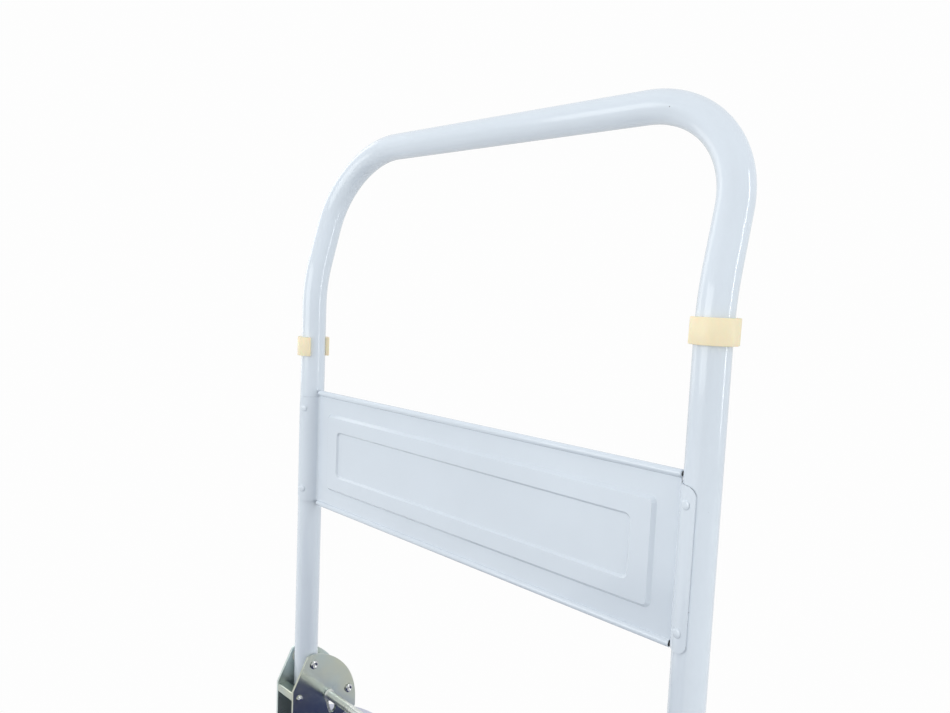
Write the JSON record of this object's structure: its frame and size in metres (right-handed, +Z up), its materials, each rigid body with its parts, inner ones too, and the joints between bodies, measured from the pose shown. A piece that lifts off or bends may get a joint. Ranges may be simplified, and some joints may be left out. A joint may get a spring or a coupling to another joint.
{
  "type": "stair climbing trolley",
  "caption": "Platform trolley with a folding tube push handle, sheet brace panel, foot release bar, edge bumper, swivel casters and stair-climbing star wheels.",
  "frame": {"origin": "on the floor under the middle of the trolley's plan", "axes": "+Z up, X across the deck, +Y towards the push handle"},
  "size_m": [0.61, 0.915, 0.9455],
  "materials": {
    "white_paint": "glossy cool-white powder coat",
    "cream_plastic": "satin cream plastic",
    "black_plastic": "black moulded plastic",
    "nylon": "natural nylon",
    "zinc_plate": "zinc plated and passivated, faint yellow and blue tints",
    "bright_steel": "bright zinc on turned steel",
    "plated_bar": "bright plated bar with a yellow-green tint",
    "spring_steel": "drawn spring wire",
    "navy_paint": "navy powder coat",
    "mat_vinyl": "ribbed non-slip vinyl, dark blue",
    "bumper_pvc": "soft light lavender-grey PVC",
    "grey_tyre": "grey solid rubber",
    "wheel_plastic": "light grey polypropylene"
  },
  "bodies": {
    "chassis": {"right_outer_cheek": "zinc_plate", "right_inner_cheek": "zinc_plate", "left_outer_cheek": "zinc_plate", "left_inner_cheek": "zinc_plate", "front_straps": "zinc_plate", "pivot_pins": "bright_steel", "spacer_rivets": "bright_steel", "stop_pins": "bright_steel", "stop_bushes": "nylon", "bracket_bolts": "bright_steel", "right_bar_spring": "spring_steel", "left_bar_spring": "spring_steel", "spring_seats": "black_plastic", "deck_plate": "navy_paint", "deck_mat": "mat_vinyl", "edge_bumper": "bumper_pvc", "front_crossmember": "navy_paint", "rear_crossmember": "navy_paint", "deck_rails": "navy_paint", "axle_hangers": "navy_paint", "rear_axle": "bright_steel", "axle_caps": "zinc_plate", "caster_plates": "zinc_plate", "caster_kingpins": "bright_steel", "caster_bolts": "bright_steel"},
    "handle": {"handle_tube": "white_paint", "brace_panel": "white_paint", "panel_rivets": "white_paint", "right_deck_clip": "cream_plastic", "left_deck_clip": "cream_plastic", "leg_plugs": "black_plastic", "pivot_bushes": "nylon"},
    "foot_bar": {"release_bar": "plated_bar", "bar_collars": "plated_bar"},
    "right_star": {"right_star_plates": "zinc_plate", "right_star_hub": "bright_steel", "right_star_bolts": "bright_steel"},
    "right_star_wheel_1": {"right_star_tyre_1": "grey_tyre", "right_star_rim_1": "wheel_plastic"},
    "right_star_wheel_2": {"right_star_tyre_2": "grey_tyre", "right_star_rim_2": "wheel_plastic"},
    "right_star_wheel_3": {"right_star_tyre_3": "grey_tyre", "right_star_rim_3": "wheel_plastic"},
    "right_caster": {"right_caster_fork": "zinc_plate", "right_caster_axle": "bright_steel"},
    "right_caster_wheel": {"right_caster_tyre": "grey_tyre", "right_caster_rim": "wheel_plastic"},
    "left_star": {"left_star_plates": "zinc_plate", "left_star_hub": "bright_steel", "left_star_bolts": "bright_steel"},
    "left_star_wheel_1": {"left_star_tyre_1": "grey_tyre", "left_star_rim_1": "wheel_plastic"},
    "left_star_wheel_2": {"left_star_tyre_2": "grey_tyre", "left_star_rim_2": "wheel_plastic"},
    "left_star_wheel_3": {"left_star_tyre_3": "grey_tyre", "left_star_rim_3": "wheel_plastic"},
    "left_caster": {"left_caster_fork": "zinc_plate", "left_caster_axle": "bright_steel"},
    "left_caster_wheel": {"left_caster_tyre": "grey_tyre", "left_caster_rim": "wheel_plastic"}
  },
  "joints": [
    {"name": "handle_fold", "type": "hinge", "parent": "chassis", "child": "handle", "pos_m": [0, 0.3651, 0.31], "axis": [1, 0, 0], "range_deg": [0, 99.4]},
    {"name": "foot_bar_press", "type": "slide", "parent": "chassis", "child": "foot_bar", "axis": [0, 0.2831, -0.9591], "range_m": [0, 0.0215], "stiffness_N_per_m": 1600, "springref_m": -0.006, "deforming": ["right_bar_spring", "left_bar_spring"]},
    {"name": "right_star_turn", "type": "hinge", "parent": "chassis", "child": "right_star", "pos_m": [0.264, 0.315, 0.085], "axis": [1, 0, 0], "continuous": true},
    {"name": "right_star_wheel_1_spin", "type": "hinge", "parent": "right_star", "child": "right_star_wheel_1", "pos_m": [0.264, 0.315, 0.155], "axis": [1, 0, 0], "continuous": true},
    {"name": "right_star_wheel_2_spin", "type": "hinge", "parent": "right_star", "child": "right_star_wheel_2", "pos_m": [0.264, 0.25438, 0.05], "axis": [1, 0, 0], "continuous": true},
    {"name": "right_star_wheel_3_spin", "type": "hinge", "parent": "right_star", "child": "right_star_wheel_3", "pos_m": [0.264, 0.37562, 0.05], "axis": [1, 0, 0], "continuous": true},
    {"name": "right_caster_swivel", "type": "hinge", "parent": "chassis", "child": "right_caster", "pos_m": [0.18, -0.325, 0.165], "axis": [0, 0, 1], "continuous": true},
    {"name": "right_caster_wheel_spin", "type": "hinge", "parent": "right_caster", "child": "right_caster_wheel", "pos_m": [0.18, -0.28, 0.075], "axis": [1, 0, 0], "continuous": true},
    {"name": "left_star_turn", "type": "hinge", "parent": "chassis", "child": "left_star", "pos_m": [-0.264, 0.315, 0.085], "axis": [1, 0, 0], "continuous": true},
    {"name": "left_star_wheel_1_spin", "type": "hinge", "parent": "left_star", "child": "left_star_wheel_1", "pos_m": [-0.264, 0.315, 0.155], "axis": [1, 0, 0], "continuous": true},
    {"name": "left_star_wheel_2_spin", "type": "hinge", "parent": "left_star", "child": "left_star_wheel_2", "pos_m": [-0.264, 0.25438, 0.05], "axis": [1, 0, 0], "continuous": true},
    {"name": "left_star_wheel_3_spin", "type": "hinge", "parent": "left_star", "child": "left_star_wheel_3", "pos_m": [-0.264, 0.37562, 0.05], "axis": [1, 0, 0], "continuous": true},
    {"name": "left_caster_swivel", "type": "hinge", "parent": "chassis", "child": "left_caster", "pos_m": [-0.18, -0.325, 0.165], "axis": [0, 0, 1], "continuous": true},
    {"name": "left_caster_wheel_spin", "type": "hinge", "parent": "left_caster", "child": "left_caster_wheel", "pos_m": [-0.18, -0.28, 0.075], "axis": [1, 0, 0], "continuous": true}
  ]
}
